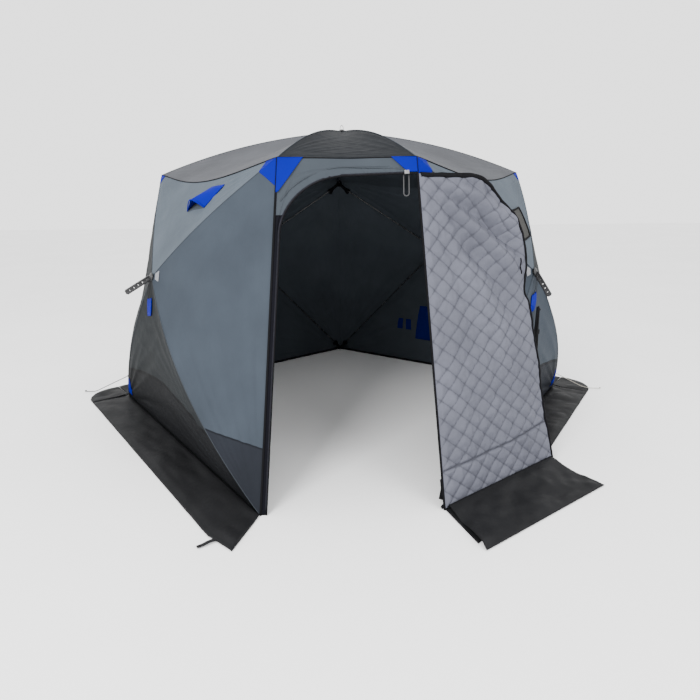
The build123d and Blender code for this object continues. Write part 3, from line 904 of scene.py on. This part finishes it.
def make_front_wall():
    rows, columns = 30, 260
    header_black_top = 1.535  # the jamb is black up to here
    grid, band = [], []
    for i in range(rows):
        w = i / (rows - 1)
        row = []
        for j in range(columns):
            t = 3 * j / (columns - 1)
            inner, outer = Vector(arch_line(t)), Vector(rim_line(t))
            x, s = between(inner, outer, w)
            row.append(on_front(x, s, header_wrinkle(t, w, x, s)))
            band.append((s - header_black_top) * 4)
        grid.append(row)
    if not faces_out(grid, front_out):
        grid = [row[::-1] for row in grid]
        band = [band[i * columns + columns - 1 - j] for i in range(rows) for j in range(columns)]
    obj = sheet_object("door_wall_cloth", grid, cloth_thickness, [header_cloth, inner_cloth])
    obj.data.attributes.new("band", "FLOAT", "POINT").data.foreach_set("value", band * 2)
    finish_piece(obj, "shell", "wall_cloth", "front_wall")
    for k in range(300):
        a, b = 3 * k / 300, 3 * (k + 1) / 300
        corners = ((arch_line, a), (arch_line, b), (rim_line, b), (rim_line, a))
        p, q, r, v = [Vector((*line(t), 0)) for line, t in corners]
    edge = [on_front(*arch_line(3 * k / 200), seam_stand) for k in range(201)]
    finish_piece(tube("doorway_binding", edge, 0.004, binding, sides=8), "shell", "black_zip")
    arc = []
    arc_wide, arc_high, arc_run, arc_fall, arc_stand = 0.400, 0.354, 0.30, 0.012, 0.002
    for k in range(90):
        turn = radians(32 + 58 * k / 89)
        arc.append(on_front(-arc_wide * cos(turn), arch_springing + arc_high * sin(turn), arc_stand))
    for k in range(1, 31):
        arc.append(on_front(arc_run * k / 30, arch_springing + arc_high - arc_fall * k / 30, arc_stand))
    finish_piece(tube("header_sewn_arc", arc, 0.0022, seam_dark, sides=6), "shell", "wall_cloth")


def blue_header_point(x, s):
    return on_front(x, s, 0.0085 + 0.003 * waver(x * 16, s * 16, 2))


def make_corner_patches():
    """Blue reinforcements at the roof corners, sewn to the walls under the eave."""
    for i, name in enumerate(wall_names):
        near, far, top = facets[name]["near"], facets[name]["far"], facets[name]["top"]
        # The two patches beside the door reach further down the corner.
        down = 0.078 if i == 0 else 0.050
        down_b = 0.078 if i == 3 else 0.050
        from_start = [(0.004, 0.10), (0, 0.10)]
        to_end = [(1, 0.10), (0.996, 0.10)]
        patches = (
            ("a_side", near, [(0, 0), (down, 0)] + from_start),
            ("a_top", top, [(0.945, 0), (1, 0)] + to_end),
            ("b_side", far, [(1 - down_b, 0), (1, 0)] + to_end),
            ("b_top", top, [(0, 0), (0.055, 0)] + from_start),
        )
        for patch, facet, spots in patches:
            patch_on(f"blue_{name}_{patch}", facet, spots, blue_cloth, "blue_cloth")
    for side in (-1, 1):
        e, wide = edge_x(front_slant), 0.128
        corners = [(side * e, front_slant), (side * (e - wide), front_slant)]
        if side > 0:
            sill = arch_top + arch_rise_right + 0.006
            corners += [(e - 0.045, sill), (edge_x(sill), sill)]
        else:
            corners += [(side * (edge_x(1.66) - 0.012), 1.655), (side * edge_x(1.655), 1.650)]
        grid = quad_grid(corners, 24, 18, blue_header_point)
        name = f"blue_header_{'left' if side < 0 else 'right'}"
        obj = sheet_object(name, outward_grid(grid, front_out), 0.0022, [blue_cloth])
        finish_piece(obj, "shell", "blue_cloth")
    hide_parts("roof_corner_patches")


# ---- door -----------------------------------------------------------------------------
hinge_foot, hinge_axis = base[4], (roof[4] - base[4]).normalized()
swing = Matrix.Rotation(door_open_angle, 3, hinge_axis)
door_foot = 0.008
quilt_wide, quilt_high = 0.118, 0.104  # diamonds, corner to corner
foot_seam_height = 0.205
door_gap = 0.004  # between the closed door and the doorway
door_corner = (edge_x(arch_top), arch_top + 0.010)


def opened(p):
    return hinge_foot + swing @ (p - hinge_foot)


def door_limits(s):
    """Free edge and hinge edge of the closed door at a height up its slant."""
    hinge = edge_x(s) - door_gap
    if s <= arch_springing:
        return jamb_x(s) + door_gap, hinge
    rise = min(1.0, (s - arch_springing) / (arch_height - door_gap))
    return (jamb_x(arch_springing) + door_gap) * sqrt(1 - rise * rise), hinge


def door_top(x):
    """Height of the door's top edge at x."""
    if x >= 0:
        return arch_top - door_gap + arch_rise_right * x / edge_x(arch_top)
    half = jamb_x(arch_springing) + door_gap
    return arch_springing + (arch_height - door_gap) * sqrt(max(0.0, 1 - (x / half) ** 2))


# Folds out of the hinge corner: degrees below level, height, and width in degrees.
fold_fan = (
    (10, -0.014, 4), (19, 0.020, 5), (32, -0.046, 5.5), (43, 0.026, 5),
    (53, -0.020, 4), (63, 0.012, 5), (74, -0.008, 4),
)


def door_fold(x, s):
    """Soft folds that fan from the door's top hinge corner, and a slack belly."""
    dx, ds = door_corner[0] - x, door_corner[1] - s
    r, fall = hypot(dx, ds), degrees(atan2(ds, max(dx, 1e-6)))
    free = x - jamb_x(min(s, arch_springing))
    reach = min(1.0, r / 0.55) * smooth(r, 0.05, 0.28)
    reach *= 1 - smooth(r, 0.90, 1.15)
    reach *= smooth(free, 0.0, 0.10)
    rise = 0.0
    for angle, height, width in fold_fan:
        rise += height * exp(-(((fall - angle) / width) ** 2))
    belly = 0.020 * sin(pi * min(1.0, s / arch_top)) * sin(pi * min(1.0, dx / 0.85))
    slack = 0.014 * waver(x * 3.2, s * 2.2, 1.3) + 0.010 * waver(x * 9, s * 6, 5.3)
    slack += 0.0060 * waver(x * 26, s * 20, 8.1)
    flare = 0.012 * exp(-(((s - 1.36) / 0.17) ** 2)) * smooth(0.30 - free, 0.0, 0.30)
    # The slack top corner flops forward along a line from the hinge corner to the free edge.
    above = (-(x - 0.42) * 0.43 + (s - 1.60) * 0.75) / 0.865
    inward = smooth(0.42 - x, 0.05, 0.45)
    flop = 0.032 * smooth(above, -0.045, 0.055) * inward * smooth(s, 1.05, 1.30)
    tuck = -0.016 * exp(-(((above + 0.075) / 0.045) ** 2)) * inward
    return rise * reach + belly + slack + flare + flop + tuck




def door_slump(x, s):
    """How far the slack top corner of the open door drops."""
    return 0.075 * smooth(0.02 - x, 0.0, 0.30) * smooth(s, 1.25, 1.62)


def quilt_puff(x, s):
    """Loft of the padding: 0 on the quilting lines, 1 in the middle of a diamond. It also sets the lining's
    painted shade in the quilting grooves.
    """
    warp = 0.006 * waver(x * 6, s * 6, 9.1)
    across, rise = (x + warp) / quilt_wide, s / quilt_high
    return (abs(sin(pi * (across + rise))) * abs(sin(pi * (across - rise)))) ** 0.40


def foot_seam(x, s, width):
    """1 on the curved seam across the door's foot, 0 away from it."""
    return exp(-(((s - foot_seam_height - 0.05 * (0.45 - x) ** 2) / width) ** 2))


def door_quilt(x, s):
    """Padded diamonds between the quilting lines, and the seam across the foot."""
    puff = quilt_puff(x, s)
    crush = 0.0022 * waver(x * 42, s * 42, 2.7)
    seam = foot_seam(x, s, 0.010)
    pull = 0.003 * waver(x * 40, s * 5, 6.1) * exp(-(((s - foot_seam_height) / 0.07) ** 2))
    return 0.0140 * puff * (1 - 0.9 * seam) + crush + pull - 0.003 * seam


def door_point(x, s, side):
    """Point of the opened door: side -1 is its quilted inner face, +1 its outer face."""
    low, high = door_limits(min(s, arch_top - door_gap))
    edge = min(smooth(x - low, 0.0, 0.03), smooth(high - x, 0.0, 0.03), smooth(s - door_foot, 0.0, 0.03))
    edge = min(edge, smooth(door_top(x) - s, 0.0, 0.03))
    held = smooth(high - x, 0.0, 0.12)
    half = 0.0025  # half the cloth's own thickness
    lift = -0.0055 - door_fold(x, s) * held * smooth(s, 0.02, 0.25)
    if side < 0:
        lift -= half + door_quilt(x, s) * edge
    else:
        lift += half + 0.0015 * edge
    return opened(on_front(x, s - door_slump(x, s), lift))


def make_door():
    columns, rows = 200, 330
    faces = {-1: [], 1: []}
    puff_shade = []
    for i in range(rows):
        for side, grid in faces.items():
            row = []
            for j in range(columns):
                x_share = j / (columns - 1)
                low = jamb_x(0) + door_gap
                foot_x = low + (door_limits(door_foot)[1] - low) * x_share
                # Columns lean with the jamb and the hinge edge, and stop at the arch.
                top_low, top_high = jamb_x(arch_springing) + door_gap, edge_x(arch_top) - door_gap
                top_x = top_low + (top_high - top_low) * x_share
                height = door_top(top_x)
                s = door_foot + (height - door_foot) * i / (rows - 1)
                x = foot_x + (top_x - foot_x) * (s - door_foot) / (height - door_foot)
                row.append(door_point(x, s, side))
                if side < 0:
                    puff_shade.append(quilt_puff(x, s) * (1 - foot_seam(x, s, 0.008)))
            grid.append(row)
    obj = shell("door_quilted", faces[-1], faces[1], [lining_cloth, door_cloth])
    # The puff attribute drives the painted shade in the lining's quilting grooves and along its foot seam.
    obj.data.attributes.new("puff", "FLOAT", "POINT").data.foreach_set("value", puff_shade + [1.0] * len(puff_shade))
    fix_normals(obj)
    finish_piece(obj, "door", "lining", "door_panel")
    edge = []
    for k in range(60):
        x = edge_x(door_foot) - 0.014 + (jamb_x(door_foot) + 0.006 - edge_x(door_foot) + 0.014) * k / 60
        edge.append((x, door_foot))
    for k in range(100):
        s = door_foot + (arch_springing - door_foot) * k / 100
        edge.append((door_limits(s)[0], s))
    for k in range(61):
        a = pi / 2 * k / 60
        x = (jamb_x(arch_springing) + door_gap) * cos(a)
        edge.append((x, door_top(x)))
    for k in range(1, 31):
        x = (edge_x(arch_top) - 0.014) * k / 30
        edge.append((x, door_top(x)))
    middle = [between(door_point(x, s, -1), door_point(x, s, 1), 0.25) for x, s in edge]
    finish_piece(tube("door_binding", middle, 0.0085, binding, sides=10), "door", "black_zip")
    top = [k for k, (x, s) in enumerate(edge) if s >= arch_springing + 0.5 * arch_height and k > 150]
    band = [between(middle[k], door_point(edge[k][0], edge[k][1] - 0.02, -1), 0.4) for k in top]
    finish_piece(tube("door_top_band", band, 0.0105, binding, sides=12), "door", "black_zip")
    slit = [door_point(jamb_x(1.2) + 0.060, 1.16 + 0.09 * k / 12, -1) for k in range(13)]
    finish_piece(tube("door_slit", slit, 0.0045, binding, sides=6), "door", "black_zip")


def fix_normals(obj):
    bm = bmesh.new()
    bm.from_mesh(obj.data)
    bmesh.ops.recalc_face_normals(bm, faces=bm.faces)
    bm.to_mesh(obj.data)
    bm.free()


# ---- ground skirts --------------------------------------------------------------------
def ground_sheet(name, inner, outer, body, nodes, seed, wrinkle=0.026, columns=90, wall_side=0.004):
    """Cloth on the ice between two lines of points, creased along its length."""
    rows = 26

    def along(line, t):
        k = min(int(t * (len(line) - 1)), len(line) - 2)
        return between(line[k], line[k + 1], t * (len(line) - 1) - k)

    def place(w, t):
        p = between(along(inner, t), along(outer, t), w)
        ridge = abs(waver(p.x * 3.0, p.y * 3.0, seed)) + 0.5 * abs(waver(p.x * 8, p.y * 8, seed + 3))
        hem = smooth(w, 0.0, 0.10) * (1 - 0.75 * smooth(w, 0.80, 1.0))
        hem = hem * smooth(t, 0.0, 0.03) * smooth(1 - t, 0.0, 0.03)
        z = p.z + 0.0035 + wrinkle * ridge * hem + wall_side * (1 - smooth(w, 0.0, 0.25))
        return Vector((p.x, p.y, z))

    grid = surface(rows, columns, place)
    obj = sheet_object(name, outward_grid(grid, UP), cloth_thickness, [skirt_cloth])
    finish_piece(obj, body, "black_cloth", *nodes)
    flat = 0.0
    for i in range(rows - 1):
        for j in range(columns - 1):
            p, q, r, v = grid[i][j], grid[i][j + 1], grid[i + 1][j + 1], grid[i + 1][j]
            flat += triangle_area(p, q, r) + triangle_area(p, r, v)
    run = sum((b - a).length for a, b in zip(outer, outer[1:]))
    return obj


def flat_out(wall):
    return Vector((wall.out.x, wall.out.y, 0)).normalized()


def make_skirts():
    for index, name in enumerate(wall_names):
        wall = walls[index]
        out, a, b = flat_out(wall), base[index], base[index + 1]
        if index == 3:
            b = b - wall.along * under_door
        inner = [a + out * skirt_seam, between(a, b, 0.33) + out * skirt_seam, b + out * skirt_seam]
        outer = [a + out * skirt_width, between(a, b, 0.33) + out * skirt_width, b + out * skirt_width]
        if index == 0:
            inner = [a + out * skirt_seam, a + out * skirt_seam + wall.along * 0.02, b + out * skirt_seam]
            tip = a + out * (skirt_width - 0.04) - wall.along * skirt_reach
            outer = [tip, a + out * skirt_width, b + out * skirt_width]
        ground_sheet(f"skirt_cloth_{name}", inner, outer, f"skirt_{name}", [f"skirt_{name}"], index * 4.0)
    for index in (1, 2, 3):
        first, last = flat_out(walls[index - 1]), flat_out(walls[index])
        turn = first.to_2d().angle_signed(last.to_2d())
        corner = base[index]
        inner, outer = [], []
        for step in range(7):
            direction = Matrix.Rotation(-turn * (0.01 + 0.98 * step / 6), 3, "Z") @ first
            inner.append(corner + direction * 0.012)
            outer.append(corner + direction * skirt_width * (1 + 0.06 * sin(pi * step / 6)))
        nodes = ["skirt_corners"] if index == 1 else []
        ground_sheet(f"skirt_corner_{index}", inner, outer, "shell", nodes, 20.0 + index, columns=40)
    wall = walls[3]
    out, end = flat_out(wall), base[4]
    start = end - wall.along * (under_door - 0.003)
    inner = [start + out * skirt_seam, end - wall.along * 0.02 + out * skirt_seam, end + out * skirt_seam]
    tip = end + out * (skirt_width - 0.04) + wall.along * skirt_reach
    outer = [start + out * skirt_width, end + out * skirt_width, tip]
    ground_sheet("skirt_under_door", inner, outer, "shell", [], 31.0, wrinkle=0.004, wall_side=0.0)
    route = (
        (-0.650, -1.842, 0.006), (-0.690, -1.870, 0.012), (-0.722, -1.892, 0.008), (-0.748, -1.905, 0.005),
    )
    line = smooth_line([Vector(p) for p in route], 24)
    side = (Vector(route[-1]) - Vector(route[0])).normalized().cross(UP)
    strap = ribbon("skirt_strap_left", line, [side] * 24, 0.024, 0.0016, black_strap)
    finish_piece(strap, "skirt_front_left", "black_webbing")


def smooth_line(points, count):
    """Points along a rounded line through a few given ones."""
    made = []
    for k in range(count):
        t = k / (count - 1) * (len(points) - 1)
        i = min(int(t), len(points) - 2)
        f = t - i
        p0, p1, p2 = points[max(i - 1, 0)], points[i], points[i + 1]
        p3 = points[min(i + 2, len(points) - 1)]
        m1, m2 = (p2 - p0) * 0.5, (p3 - p1) * 0.5
        cube, square = f * f * f, f * f
        leave = p1 * (2 * cube - 3 * square + 1) + m1 * (cube - 2 * square + f)
        made.append(leave + p2 * (3 * square - 2 * cube) + m2 * (cube - square))
    return made


def on_floor(point):
    return Vector((point.x, point.y, 0))


def make_door_skirt():
    """Skirt of the open door: from its bottom edge down to the ice, creased."""
    near = opened(on_front(edge_x(0) - 0.022, 0.020, -0.014))
    far = opened(on_front(jamb_x(0) + 0.025, 0.020, -0.014))
    reach, splay = 0.35, 0.11  # depth, and how far the near corner spreads past the door
    along = far - near
    along.z = 0
    along.normalize()
    outward = along.cross(UP)
    outer_near = on_floor(near + outward * reach - along * splay)
    outer_far = on_floor(far + outward * reach)

    def place(w, t):
        top, low = between(near, far, t), between(outer_near, outer_far, t)
        p = between(top, low, w)
        drop = top.z * (1 - smooth(w, 0.0, 0.45)) + 0.0035
        crease = 0.030 * abs(waver(p.x * 4, p.y * 4, 44)) + 0.009 * waver(p.x * 14, p.y * 14, 4)
        crease += 0.020 * (1 - smooth(t, 0.0, 0.10)) * smooth(w, 0.35, 0.75)
        z = drop + max(0.0, crease) * smooth(w, 0.0, 0.2) * (1 - smooth(w, 0.85, 1.0))
        return Vector((p.x, p.y, z + 0.004 * smooth(w, 0.2, 0.5)))

    grid = surface(34, 90, place)
    obj = sheet_object("door_skirt_cloth", outward_grid(grid, UP), cloth_thickness, [skirt_cloth])
    finish_piece(obj, "door_skirt", "black_cloth", "door_skirt")


# ---- window, vent, hub details --------------------------------------------------------
def make_window():
    facet = facets["front_right"]["top"]
    corners = [(0.20, 0.36), (0.80, 0.36), (0.92, 0.68), (0.08, 0.68)]
    pane = patch_on("window_pane", facet, corners, window_mesh, "window_mesh", lift=0.0035, size=(40, 24))
    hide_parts("window_panel")
    for k in range(4):
        a, b = Vector(corners[k]), Vector(corners[(k + 1) % 4])
        line = [facet.point(*between(a, b, n / 30), 0.0045) for n in range(31)]
        trim = tube(f"window_trim_{k + 1}", line, 0.0065, binding, sides=8)
        facet.blend(trim, "black_zip")


def make_vent():
    facet = facets["front_left"]["top"]
    left_low, right_low = facet.point(0.570, 0.320, 0.003), facet.point(0.775, 0.320, 0.003)
    left_high, right_high = facet.point(0.630, 0.100, 0.003), facet.point(0.775, 0.110, 0.003)
    ridge_low = facet.point(0.675, 0.275) + facet.normal * 0.060
    ridge_high = between(left_high, right_high, 0.35) + facet.normal * 0.008
    right_corners = [ridge_low, right_low, right_high, ridge_high]
    right = sheet_between("vent_right", right_corners, facet.normal, blue_cloth, 0.006)
    left_corners = [left_low, ridge_low, ridge_high, left_high]
    left = sheet_between("vent_left", left_corners, facet.normal, blue_cloth, 0.004)
    # The mouth under the hood is a sheet of the black lining cloth over the vent opening: its darkness is
    # partly the lining's own black and partly painted shade for the unlit inside seen through the opening.
    middle = between(left_low, right_low, 0.5)
    lips = [between(left_low, middle, 0.04), between(right_low, middle, 0.04)]
    mouth = sheet_between("vent_mouth", lips + [right_high, left_high], facet.normal, inner_cloth, 0.004)
    for obj, slot in ((right, "blue_cloth"), (left, "blue_cloth"), (mouth, "black_cloth")):
        facet.blend(obj, slot)
    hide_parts("vent_hood")
    rim = [left_low, ridge_low, right_low]
    facet.blend(tube("vent_hem", smooth_line(rim, 40), 0.003, blue_cloth, sides=8), "blue_cloth")


def lathe(name, profile, origin, axis, material):
    """Turned shape about an axis; the profile is (radius, height) from its foot to its top."""
    segments = 40
    across = axis.orthogonal().normalized()
    other = axis.cross(across)
    vertices = []
    for r, h in profile:
        for s in range(segments):
            a = 2 * pi * s / segments
            vertices.append(origin + axis * h + (across * cos(a) + other * sin(a)) * r)
    return new_object(name, vertices, ring_faces(len(profile), segments), [material])


def rounded_blocks(name, blocks, material, bevel):
    """Boxes with rounded edges, as one piece; each is a centre and three half-axes."""
    bm = bmesh.new()
    for centre, x, y, z in blocks:
        matrix = Matrix.Translation(centre) @ Matrix((x, y, z)).transposed().to_4x4()
        made = bmesh.ops.create_cube(bm, size=2.0)["verts"]
        bmesh.ops.transform(bm, matrix=matrix, verts=made)
    bmesh.ops.bevel(bm, geom=bm.edges[:], offset=bevel, segments=3, profile=0.5, affect="EDGES")
    bmesh.ops.recalc_face_normals(bm, faces=bm.faces)
    mesh = bpy.data.meshes.new(name)
    bm.to_mesh(mesh)
    bm.free()
    mesh.materials.append(material)
    mesh.polygons.foreach_set("use_smooth", [True] * len(mesh.polygons))
    return link_object(name, mesh)


# How far each handle hangs away from the wall's outward direction, in degrees.
pull_lean = {"front_left": 38, "back_left": 50, "back_right": 50, "front_right": 66}
cap_profile = [
    (0.020, -0.001), (0.0245, 0.0), (0.0245, 0.004), (0.022, 0.0065),
    (0.014, 0.0072), (0.013, 0.011), (0.006, 0.0125),
]


def make_pulls():
    for wall in walls:
        name = wall_names[wall.index]
        body = "hub_" + name
        foot = wall.hub + wall.out * 0.004
        cap = lathe(f"cap_{name}", cap_profile, foot, wall.out, hub_plastic)
        finish_piece(cap, body, "black_plastic")
        side = wall.out.cross(UP).normalized()
        fall = side.cross(wall.out).normalized()
        fall = fall if fall.z < 0 else -fall
        lean = radians(pull_lean[name])
        run = (wall.out * cos(lean) + fall * sin(lean)).normalized()
        thick = side.cross(run).normalized()
        start = foot + wall.out * 0.0035
        blocks = []
        rail_out, rail_half, rung_pitch = 0.0105, 0.083, 0.0296
        for edge in (-rail_out, rail_out):
            centre = start + run * 0.092 + thick * edge
            blocks.append((centre, run * rail_half, thick * 0.0062, side * 0.0036))
        for k in range(6):
            half = 0.014 if k in (0, 5) else 0.0128
            blocks.append((start + run * (0.018 + rung_pitch * k), run * half, thick * 0.0108, side * 0.0032))
        handle = rounded_blocks(f"handle_{name}", blocks, handle_plastic, 0.0012)
        finish_piece(handle, body, "black_plastic", f"hub_pull_{name}")
        near, bottom, far = facets[name]["near"], facets[name]["bottom"], facets[name]["far"]
        front = near if wall.index < 2 else far
        spots = [(0.12, 0.905), (0.50, 0.905), (0.50, 0.950), (0.12, 0.950)]
        if wall.index >= 2:
            spots = [(1 - u, v) for u, v in spots]
        patch_on(f"hub_tab_{name}", front, spots, tab_grey, "wall_cloth", lift=0.004)
        low = [(0.72, 0.872), (0.42, 0.886), (0.50, 0.782), (0.64, 0.772)]
        patch_on(f"blue_tab_{name}", bottom, low, blue_cloth, "blue_cloth", lift=0.007)
        for k, share in enumerate((0.50, 0.64)):
            top = foot + wall.out * 0.006
            bend = between(top, bottom.point(share, 0.88, 0.010), 0.5) + wall.out * 0.008
            line = smooth_line([top, bend, bottom.point(share, 0.875, 0.010)], 20)
            across = [bottom.chord] * len(line)
            strap = ribbon(f"hub_strap_{name}_{k + 1}", line, across, 0.007, 0.0016, black_strap)
            bottom.blend(strap, "black_webbing")
    top = peak + UP * 0.004
    finish_piece(lathe("cap_roof", cap_profile, top, UP, hub_plastic), "hub_roof", "black_plastic")
    turns = [pi * k / 30 for k in range(31)]
    arch = [top + RIGHT * 0.012 * cos(a) + UP * (0.006 + 0.032 * sin(a)) for a in turns]
    loop = ribbon("roof_loop", arch, [Vector((0, 1, 0))] * 31, 0.014, 0.002, black_strap)
    fix_normals(loop)
    finish_piece(loop, "hub_roof", "black_webbing", "hub_pull_roof")


def make_base_tabs():
    """Blue anchor patches at the two side corners."""
    for name, flip in (("front_left", False), ("front_right", True)):
        facet = facets[name]["bottom"]
        spots = [(0.935, 0.05), (0.99, 0.05), (0.995, 0.20), (0.975, 0.19)]
        if flip:
            spots = [(1 - u, v) for u, v in spots]
        patch_on(f"base_tab_{name}", facet, spots, blue_cloth, "blue_cloth", lift=0.004)


def make_pocket():
    """Organiser pocket and two loops on the back-right wall, inside."""
    facet = facets["back_right"]["bottom"]
    pocket_top, pocket_foot, pocket_lean = 0.20, 0.49, -0.04
    loop_top, loop_foot, loop_lean, loop_wide = 0.27, 0.36, -0.03, 0.035
    places = {
        "pocket_body": (0.38, 0.50, pocket_top, pocket_foot, pocket_lean),
        "pocket_loop_1": (0.24, 0.24 + loop_wide, loop_top, loop_foot, loop_lean),
        "pocket_loop_2": (0.30, 0.30 + loop_wide, loop_top, loop_foot, loop_lean),
    }
    for name, (left, right, top, foot, lean) in places.items():
        spots = [(left, top), (right, top), (right + lean, foot), (left + lean, foot)]
        patch_on(name, facet, spots, pocket_navy, "black_cloth", lift=-0.008, thickness=0.004)


# ---- kept CAD nodes -------------------------------------------------------------------
def dress_frame():
    for name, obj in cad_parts.items():
        if name == "pole_pockets":
            material = binding
        elif name.startswith("pole_"):
            material = rod_gloss
        elif name.startswith("hub_"):
            material = hub_plastic
        elif name == "zip_carabiner":
            material = ring_grey
        elif name in ("door_zip_slider", "guy_rings"):
            material = steel
        elif name == "door_zip_track":
            material = zip_black
        else:
            continue
        obj.data.materials.clear()
        obj.data.materials.append(material)


# ---- floor and light ------------------------------------------------------------------
def make_floor():
    half, drop = 40, -0.0015  # just under the cloth that lies on it
    corners = [(-half, -half, drop), (half, -half, drop), (half, half, drop), (-half, half, drop)]
    m = Shader("floor_pale", roughness=0.7, specular=0.2)
    m.colour(m.spread(m.noise(0.6), (0.88, 0.88, 0.88), (0.92, 0.92, 0.92)))
    floor_obj = new_object("floor", corners, [(0, 1, 2, 3)], [m.material], smooth=False)


def area_light(name, place, target, size, power):
    data = bpy.data.lights.new(name, "AREA")
    data.size = size
    data.energy = power
    light = link_object(name, data)
    light.location = place
    light.rotation_euler = (Vector(target) - Vector(place)).to_track_quat("-Z", "Y").to_euler()


def make_lights():
    world = bpy.data.worlds.new("studio")
    bpy.context.scene.world = world
    world.use_nodes = True
    world.node_tree.nodes["Background"].inputs["Color"].default_value = (1, 1, 1, 1)
    world.node_tree.nodes["Background"].inputs["Strength"].default_value = 2.3
    area_light("key", (-3.5, -6.5, 5.0), (0, 0, 0.8), 3.0, 760)
    area_light("inside", (0.0, -0.2, 1.62), (0.0, 1.9, 0.75), 0.7, 7)
    area_light("fill", (4.0, -6.0, 3.5), (0.8, -1, 0.8), 3.0, 260)


make_floor()
make_cords()
make_hank()
make_walls()
make_roof()
make_corner_seams()
make_base_piping()
make_front_wall()
make_corner_patches()
make_door()
make_skirts()
make_door_skirt()
make_window()
make_vent()
make_pulls()
make_base_tabs()
make_pocket()
dress_frame()
make_lights()
